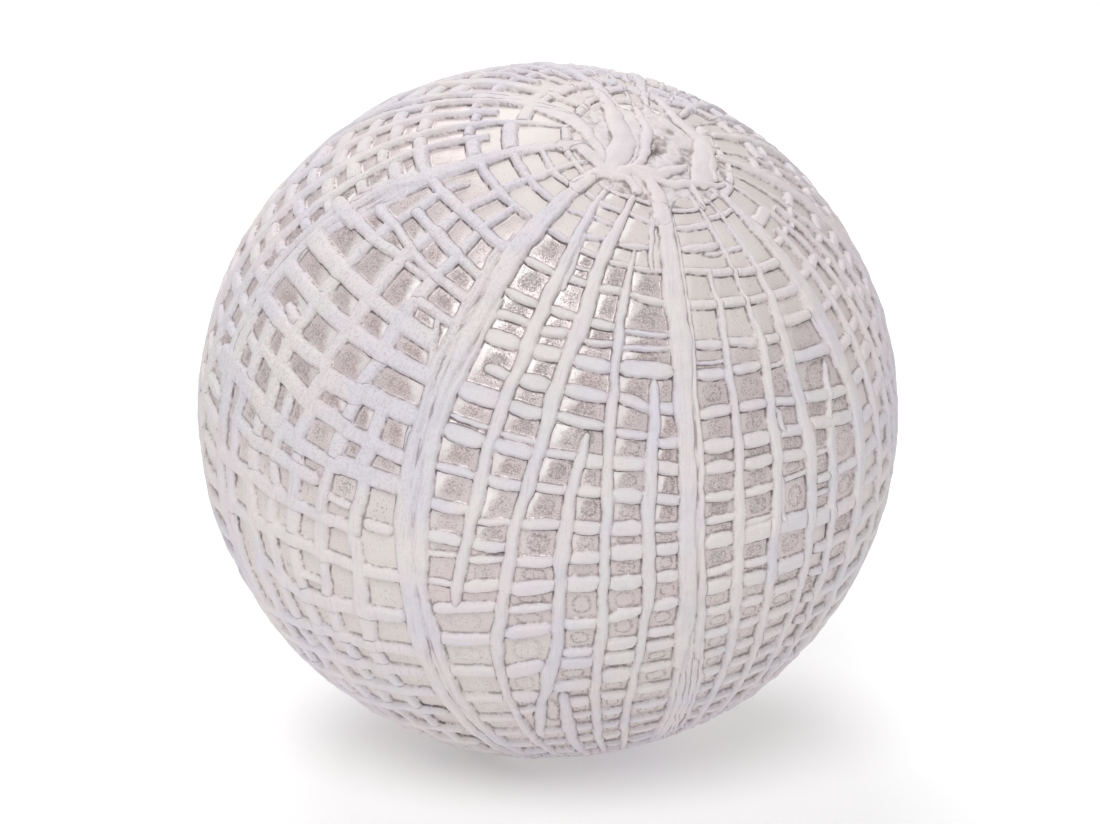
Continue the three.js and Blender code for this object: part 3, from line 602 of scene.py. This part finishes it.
points = shape(guide).reshape(-1, 3)
tips = np.stack([UP * guide[0].mean(), to_dir(np.array(0.0), np.array(700.0)) * guide[-1].mean()])
points = np.concatenate([points, tips])
i, j = np.arange(COLS), np.arange(ROWS - 1)[:, None]
a, b = j * COLS + i, j * COLS + (i + 1) % COLS
c, d = b + COLS, a + COLS
quads = np.stack([a, d, c, b], -1).reshape(-1, 4)
top, low = len(points) - 2, len(points) - 1
cap_t = np.stack([np.full(COLS, top), i, (i + 1) % COLS], -1)
last_row = (ROWS - 1) * COLS
cap_l = np.stack([np.full(COLS, low), last_row + (i + 1) % COLS, last_row + i], -1)
tris = np.concatenate([quads[:, [0, 1, 2]], quads[:, [0, 2, 3]], cap_t, cap_l])


def mesh_from(name, verts, faces):
    me = bpy.data.meshes.new(name)
    me.vertices.add(len(verts))
    me.vertices.foreach_set("co", np.ascontiguousarray(verts, np.float32).ravel())
    me.loops.add(faces.size)
    me.loops.foreach_set("vertex_index", np.ascontiguousarray(faces, np.int32).ravel())
    me.polygons.add(len(faces))
    me.polygons.foreach_set("loop_start", np.arange(0, faces.size, 3, dtype=np.int32))
    me.update(calc_edges=True)
    return me


dense = mesh_from("dense", points, tris)
holder = bpy.data.objects.new("dense", dense)
bpy.context.scene.collection.objects.link(holder)
thin = holder.modifiers.new("thin", "DECIMATE")
thin.ratio = MOST_FACES / len(tris)
thin.use_collapse_triangulate = True
lean = bpy.data.meshes.new_from_object(holder.evaluated_get(bpy.context.evaluated_depsgraph_get()))
verts = np.empty(len(lean.vertices) * 3, np.float32)
lean.vertices.foreach_get("co", verts)
verts = verts.reshape(-1, 3).astype(float)
faces = np.empty(len(lean.loops), np.int32)
lean.loops.foreach_get("vertex_index", faces)
faces = faces.reshape(-1, 3)
bpy.data.objects.remove(holder)
bpy.data.meshes.remove(dense)
bpy.data.meshes.remove(lean)


def sample(field, around, down):
    """A field of the height map at any spot, between its rows and columns."""
    y = np.clip(np.searchsorted(DOWN, down) - 1, 0, ROWS - 2)
    fy = np.clip((down - DOWN[y]) / (DOWN[y + 1] - DOWN[y]), 0, 1)
    x = (around + 180) / STEP
    x0 = np.floor(x).astype(int)
    fx = x - x0
    x0, x1 = x0 % COLS, (x0 + 1) % COLS
    if field.ndim == 3:
        fx, fy = fx[..., None], fy[..., None]
    return (field[y, x0] * (1 - fx) + field[y, x1] * fx) * (1 - fy) + (field[y + 1, x0] * (1 - fx) + field[y + 1, x1] * fx) * fy


def nearest(field, around, down):
    y = np.clip(np.searchsorted(DOWN, down), 1, ROWS - 1)
    y = np.where(down - DOWN[y - 1] < DOWN[y] - down, y - 1, y)
    return field[y, np.round((around + 180) / STEP).astype(int) % COLS]


unit = verts / np.linalg.norm(verts, axis=1, keepdims=True)
va, vd = to_net(unit)
final = unit * sample(reach, va, vd)[:, None] + CENTRE
on_floor = final[:, 2] < 0
final[:, 2] = np.maximum(final[:, 2], 0)

ball_mesh = mesh_from("ball_relief", final / 1000, faces)
ball = bpy.data.objects.new("ball_relief", ball_mesh)
bpy.context.scene.collection.objects.link(ball)

# Normals from the height map itself, taken a little inside each face, so that creases stay crisp and domes smooth
true = shape(reach)
e_a = np.roll(true, -1, 1) - np.roll(true, 1, 1)
e_d = np.gradient(true, axis=0)
normal = np.cross(e_d, e_a)
normal /= np.maximum(np.linalg.norm(normal, axis=-1, keepdims=True), 1e-12)
normal *= np.sign((normal * dirs).sum(-1, keepdims=True))
corner = unit[faces]
inner = corner * 0.7 + corner.mean(1, keepdims=True) * 0.3
inner /= np.linalg.norm(inner, axis=-1, keepdims=True)
ca, cd = to_net(inner.reshape(-1, 3))
corner_n = sample(normal, ca, cd)
corner_n /= np.maximum(np.linalg.norm(corner_n, axis=1, keepdims=True), 1e-9)
flat_face = on_floor[faces].all(1)
corner_n.reshape(-1, 3, 3)[flat_face] = (0, 0, -1)
ball_mesh.polygons.foreach_set("use_smooth", np.ones(len(faces), bool))
ball_mesh.normals_split_custom_set(corner_n.astype(np.float32))


def attribute(name, values):
    ball_mesh.attributes.new(name, "FLOAT", "POINT").data.foreach_set("value", np.ascontiguousarray(values, np.float32))


vp = nearest(label, va, vd)
attribute("edge", sample(edge, va, vd))
attribute("over", sample(over_edge * (1 - patch) * (1 - foot_patch) - 0.6 * np.maximum(patch, foot_patch), va, vd))
attribute("across", np.where(vp > 0, np.clip((va - pane_a[vp]) / half_a[vp], -2, 2), 0))
attribute("along", np.where(vp > 0, np.clip((vd - pane_d[vp]) / half_d[vp], -2, 2), 0))
attribute("stain", stain[vp])
attribute("ring", ring[vp])
attribute("cream", cream[vp])
attribute("painted_highlight", painted_highlight[vp])
attribute("blush", np.maximum(smooth(-88, -122, vd), 0.7 * smooth(74, 90, va) * smooth(150, 130, va) * smooth(-20, -50, vd)))
attribute("net_a", va)
attribute("net_d", vd)
attribute("grainy", smooth(-24, -38, va) * smooth(-95, -80, va) * smooth(0, -20, vd) + 0.4)

# A map for surface detail: six square charts
face_dir = corner.mean(1)
axis = np.abs(face_dir).argmax(1)
sign = np.sign(face_dir[np.arange(len(faces)), axis])
uv = np.empty((len(faces), 3, 2))
for ax in range(3):
    for n, s in enumerate((1, -1)):
        pick = (axis == ax) & (sign == s)
        q = corner[pick]
        u, v = (ax + 1) % 3, (ax + 2) % 3
        m = np.abs(q[..., ax])
        g = np.stack([np.arctan2(q[..., u], m) * s, np.arctan2(q[..., v], m)], -1) / (math.pi / 4) * 0.485
        uv[pick] = (g + 0.5 + np.array([ax, n])) / np.array([3, 2])
ball_mesh.uv_layers.new(name="OFBake").data.foreach_set("uv", uv.astype(np.float32).ravel())

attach(ball, "root")
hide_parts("ball")

# ------------------------------------------------------------------ material
mat = bpy.data.materials.new("washed_resin_finish")
mat.use_nodes = True
nt = mat.node_tree
bsdf = nt.nodes["Principled BSDF"] if "Principled BSDF" in nt.nodes else nt.nodes.new("ShaderNodeBsdfPrincipled")
out = next((n for n in nt.nodes if n.type == "OUTPUT_MATERIAL"), None) or nt.nodes.new("ShaderNodeOutputMaterial")
nt.links.new(bsdf.outputs[0], out.inputs[0])


def node(kind, **kw):
    n = nt.nodes.new(kind)
    for k, v in kw.items():
        setattr(n, k, v)
    return n


def put(socket, value):
    if isinstance(value, bpy.types.NodeSocket):
        nt.links.new(value, socket)
    else:
        socket.default_value = value


def maths(op, a, b=0.0, c=0.0, clamp=False):
    n = node("ShaderNodeMath", operation=op, use_clamp=clamp)
    put(n.inputs[0], a)
    put(n.inputs[1], b)
    put(n.inputs[2], c)
    return n.outputs[0]


def attr(name):
    return node("ShaderNodeAttribute", attribute_name=name).outputs["Fac"]


def span(value, a, b, lo=0.0, hi=1.0, kind="SMOOTHSTEP"):
    n = node("ShaderNodeMapRange", interpolation_type=kind)
    for s, v in zip(n.inputs[:5], (value, a, b, lo, hi)):
        put(s, v)
    return n.outputs[0]


def mix(fac, a, b):
    n = node("ShaderNodeMix", data_type="RGBA")
    put(n.inputs[0], fac)
    put(n.inputs[6], a)
    put(n.inputs[7], b)
    return n.outputs[2]


coord = node("ShaderNodeTexCoord").outputs["Object"]


def noise(size, detail=2.0, rough=0.55, seed=0.0):
    """Noise with lumps of the given size in millimetres."""
    n = node("ShaderNodeTexNoise", noise_dimensions="4D")
    put(n.inputs["Vector"], coord)
    put(n.inputs["W"], seed)
    put(n.inputs["Scale"], 1000 / size)
    put(n.inputs["Detail"], detail)
    put(n.inputs["Roughness"], rough)
    return n.outputs["Fac"]


def centred(value, gain):
    return maths("MULTIPLY_ADD", value, gain, -gain / 2)


def times(*values):
    out_ = values[0]
    for v in values[1:]:
        out_ = maths("MULTIPLY", out_, v)
    return out_


def minus(value):
    return maths("SUBTRACT", 1.0, value)


edge_, across, along_ = attr("edge"), attr("across"), attr("along")
grain, speck, blot, blot2 = noise(0.28, 2, 0.6, 1), noise(0.2, 1, 0.5, 2), noise(0.95, 2, 0.55, 3), noise(0.8, 2, 0.55, 9)
patchy, drift, drift2, drift3 = noise(3.0, 2, 0.5, 4), noise(11, 2, 0.5, 5), noise(8, 1, 0.5, 6), noise(16, 1, 0.5, 7)

worn_edge = maths("ADD", maths("ADD", edge_, centred(blot, 0.16)), centred(grain, 0.1))
wash = span(worn_edge, -0.07, 0.05)

# whitewash: lavender, cream and pink drifting into each other
chalk = mix(span(drift, 0.38, 0.62), (0.71, 0.672, 0.725, 1), (0.755, 0.71, 0.70, 1))
chalk = mix(times(span(drift2, 0.48, 0.68), 0.75), chalk, (0.77, 0.685, 0.70, 1))
chalk = mix(times(span(drift3, 0.5, 0.68), 0.3), chalk, (0.70, 0.70, 0.715, 1))
chalk = mix(times(span(grain, 0.45, 0.75), attr("grainy"), 0.45), chalk, (0.45, 0.42, 0.44, 1))
chalk = mix(times(attr("blush"), 0.6), chalk, (0.765, 0.68, 0.685, 1))
chalk = mix(times(span(patchy, 0.5, 0.75), 0.2), chalk, (0.52, 0.49, 0.51, 1))
lines = node("ShaderNodeCombineXYZ")
put(lines.inputs[0], times(attr("net_a"), 2.6))
put(lines.inputs[1], times(attr("net_d"), 0.16))
hairs = node("ShaderNodeTexNoise")
put(hairs.inputs["Vector"], lines.outputs[0])
put(hairs.inputs["Scale"], 1.0)
put(hairs.inputs["Detail"], 3.0)
hair = hairs.outputs["Fac"]
chalk = mix(times(span(hair, 0.54, 0.68), span(attr("over"), 0.1, 0.5), 0.3), chalk, (0.50, 0.44, 0.46, 1))
# darker broken band just inside the edges of each stroke: partly dirt, partly painted shade on the stroke's sides
chalk = mix(times(span(edge_, 0.3, 0.02), span(blot2, 0.45, 0.65), 0.35), chalk, (0.36, 0.32, 0.32, 1))

# panes: tarnished silver leaf
square = maths("POWER", maths("ADD", maths("POWER", maths("ABSOLUTE", across), 4.0), maths("POWER", maths("ABSOLUTE", along_), 4.0)), 0.25)
core = minus(span(maths("ADD", square, centred(blot, 0.7)), 0.3, 0.95))
density = times(attr("stain"), maths("MULTIPLY_ADD", core, 0.7, 0.3))
spots = maths("ADD", maths("ADD", speck, centred(blot, 0.3)), maths("MULTIPLY", density, 0.36))
spots = span(spots, 0.62, 0.84)
leaf = mix(attr("cream"), (0.68, 0.605, 0.60, 1), (0.735, 0.69, 0.66, 1))
leaf = mix(times(attr("blush"), 0.6), leaf, (0.69, 0.61, 0.605, 1))
leaf = mix(times(span(drift2, 0.45, 0.7), 0.4), leaf, (0.70, 0.59, 0.60, 1))
# painted highlight: a near-white band along one side and the upper edge of each pane, kept off the pane's very edge, in
# place of light caught on its shoulder
painted_highlight_amount = attr("painted_highlight")
side = maths("ADD", maths("MULTIPLY", times(across, -1.0), maths("SIGN", painted_highlight_amount)), maths("MULTIPLY", along_, -0.35))
painted_highlight_mask = times(span(maths("ADD", side, centred(blot, 0.8)), 0.25, 0.85), maths("ABSOLUTE", painted_highlight_amount), span(maths("ABSOLUTE", edge_), 0.05, 0.2))
rust = mix(span(drift, 0.4, 0.6), (0.27, 0.19, 0.185, 1), (0.24, 0.205, 0.215, 1))
leaf = mix(times(spots, span(grain, 0.34, 0.6, 0.3, 1.0), 0.74), leaf, rust)
circle = maths("POWER", maths("ADD", maths("POWER", maths("ABSOLUTE", across), 2.6), maths("POWER", maths("ABSOLUTE", along_), 2.6)), 0.385)
band_ = maths("ABSOLUTE", maths("ADD", maths("ADD", circle, -0.56), centred(blot, 0.35)))
leaf = mix(times(span(band_, 0.15, 0.03), attr("ring"), span(grain, 0.36, 0.6), 0.75), leaf, (0.30, 0.24, 0.24, 1))
rim = times(span(edge_, -0.45, -0.1), span(speck, 0.46, 0.62), attr("ring"), 0.6)
leaf = mix(rim, leaf, (0.32, 0.26, 0.26, 1))
leaf = mix(times(painted_highlight_mask, 0.9), leaf, (0.93, 0.895, 0.885, 1))

colour = mix(wash, leaf, chalk)
# dark outline round each pane: partly grime, partly painted shade, stronger along the upper edge where the bar above
# would shade it
line = times(span(maths("ABSOLUTE", maths("ADD", edge_, 0.05)), 0.15, 0.03), span(maths("ADD", times(blot2, 0.5), times(patchy, 0.5)), 0.4, 0.56), maths("MULTIPLY_ADD", span(along_, -0.2, -0.9), 0.4, 0.55))
colour = mix(line, colour, (0.13, 0.105, 0.105, 1))
# dark line along the crease where one stroke lies over another: partly a dark joint, partly painted shade in the crease
joint_and_crease_shade = times(span(maths("ABSOLUTE", maths("ADD", attr("over"), centred(blot, 0.1))), 0.13, 0.03), span(edge_, 0.03, 0.2), span(patchy, 0.38, 0.56), 0.62)
colour = mix(joint_and_crease_shade, colour, (0.24, 0.20, 0.205, 1))
put(bsdf.inputs["Base Color"], colour)
put(bsdf.inputs["Roughness"], maths("ADD", span(wash, 0, 1, 0.4, 0.74), times(spots, minus(wash), 0.2)))
put(bsdf.inputs["Metallic"], times(minus(wash), minus(attr("cream")), minus(spots), 0.34))
bsdf.inputs["Specular IOR Level"].default_value = 0.35
bump = node("ShaderNodeBump")
bump.inputs["Strength"].default_value = 0.35
bump.inputs["Distance"].default_value = 0.00012
put(bump.inputs["Height"], maths("ADD", times(grain, 0.6), blot))
put(bsdf.inputs["Normal"], bump.outputs[0])
ball_mesh.materials.append(mat)

# ------------------------------------------------------------------ floor, light and camera
floor_mesh = bpy.data.meshes.new("floor")
S = 6.0
floor_mesh.from_pydata([(-S, -S, 0), (S, -S, 0), (S, S, 0), (-S, S, 0)], [], [(0, 1, 2, 3)])
floor = bpy.data.objects.new("floor", floor_mesh)
floor.location.z = -0.0002
bpy.context.scene.collection.objects.link(floor)
pale = bpy.data.materials.new("pale_floor")
pale.use_nodes = True
pale.node_tree.nodes["Principled BSDF"].inputs["Base Color"].default_value = (0.86, 0.86, 0.86, 1)
pale.node_tree.nodes["Principled BSDF"].inputs["Roughness"].default_value = 0.9
pale.node_tree.nodes["Principled BSDF"].inputs["Emission Color"].default_value = (1, 1, 1, 1)
# a lit sweep: brighter behind the ball, and little light thrown up from in front of it
place = pale.node_tree.nodes.new("ShaderNodeTexCoord")
parts_ = pale.node_tree.nodes.new("ShaderNodeSeparateXYZ")
sweep = pale.node_tree.nodes.new("ShaderNodeMapRange")
for n, v in ((1, -0.16), (2, 0.02), (3, 0.0), (4, 0.29)):
    sweep.inputs[n].default_value = v
pale.node_tree.links.new(place.outputs["Object"], parts_.inputs[0])
pale.node_tree.links.new(parts_.outputs[1], sweep.inputs[0])
pale.node_tree.links.new(sweep.outputs[0], pale.node_tree.nodes["Principled BSDF"].inputs["Emission Strength"])
floor_mesh.materials.append(pale)

world = bpy.data.worlds.new("studio")
bpy.context.scene.world = world
world.use_nodes = True
world.node_tree.nodes["Background"].inputs[0].default_value = (1, 1, 1, 1)
world.node_tree.nodes["Background"].inputs[1].default_value = 0.44
middle = CENTRE / 1000


def lamp(name, spot, size, power, colour=(1, 1, 1)):
    data = bpy.data.lights.new(name, "AREA")
    data.shape, data.size, data.energy, data.color = "DISK", size, power, colour
    ob = bpy.data.objects.new(name, data)
    ob.location = spot
    from mathutils import Vector

    ob.rotation_euler = (Vector(middle) - Vector(spot)).to_track_quat("-Z", "Y").to_euler()
    bpy.context.scene.collection.objects.link(ob)
    return ob


lamp("key", (-0.12, -0.82, 1.0), 0.9, 8.7)
lamp("back", (-0.2, 0.6, 1.05), 0.8, 5.2)

from mathutils import Vector

cam_data = bpy.data.cameras.new("camera")
cam = bpy.data.objects.new("camera", cam_data)
bpy.context.scene.collection.objects.link(cam)
cam.location = middle + VIEW * 0.5
cam.rotation_euler = (Vector(middle) - cam.location).to_track_quat("-Z", "Y").to_euler()
cam_data.sensor_fit = "HORIZONTAL"
cam_data.sensor_width = 36.0
cam_data.lens = 351 * math.sqrt(99) / 1100 * 36
cam_data.shift_x = 2 / 1100
cam_data.shift_y = -1.7 / 1100
bpy.context.scene.camera = cam
bpy.context.scene.view_settings.view_transform = "Standard"
